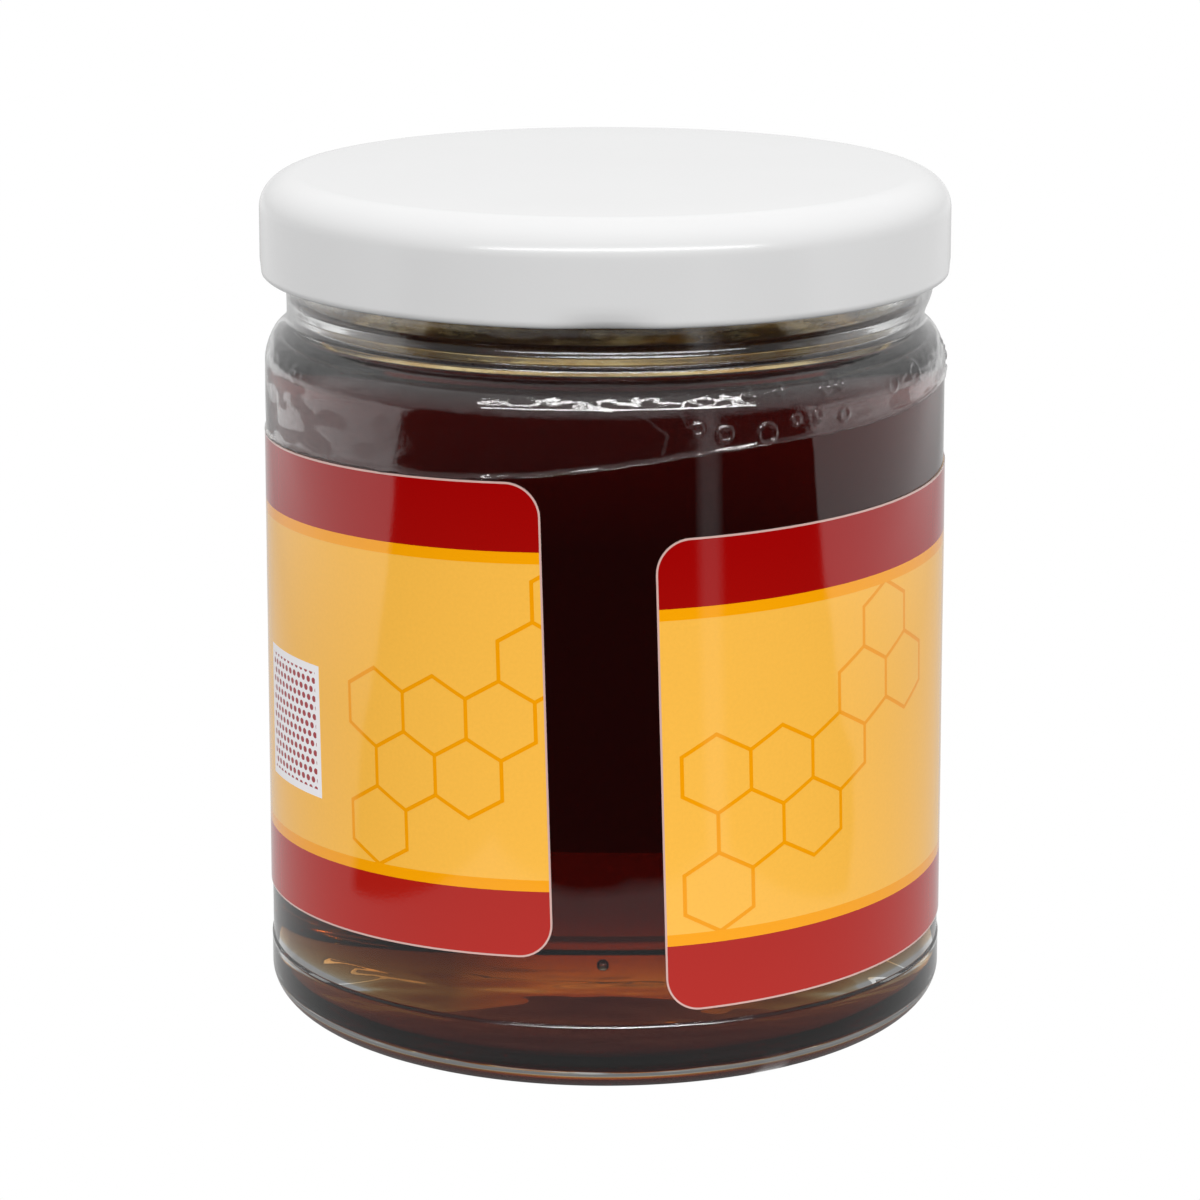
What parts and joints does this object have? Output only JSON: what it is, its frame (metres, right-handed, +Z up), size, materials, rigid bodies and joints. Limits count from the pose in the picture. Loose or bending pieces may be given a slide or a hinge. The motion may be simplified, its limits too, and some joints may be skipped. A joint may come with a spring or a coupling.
{
  "type": "honey jar",
  "caption": "Squat round glass jar full of dark honey, shut with a white twist-off lid, with a wrap-round paper label and a clear shrunk band over the neck.",
  "frame": {"origin": "middle of the ring on which the jar stands", "axes": "+Z up along the jar's axis; -Y is the side where the two ends of the label leave a gap of bare glass"},
  "size_m": [0.0732, 0.0732, 0.0911],
  "materials": {
    "jar_glass": "gloss",
    "dark_honey": "gloss",
    "white_enamel": "satin",
    "label_paper": "satin",
    "clear_film": "gloss"
  },
  "bodies": {
    "root": {"glass_jar": "jar_glass", "honey": "dark_honey", "lid": "white_enamel", "label": "label_paper", "shrink_band": "clear_film"}
  },
  "joints": []
}
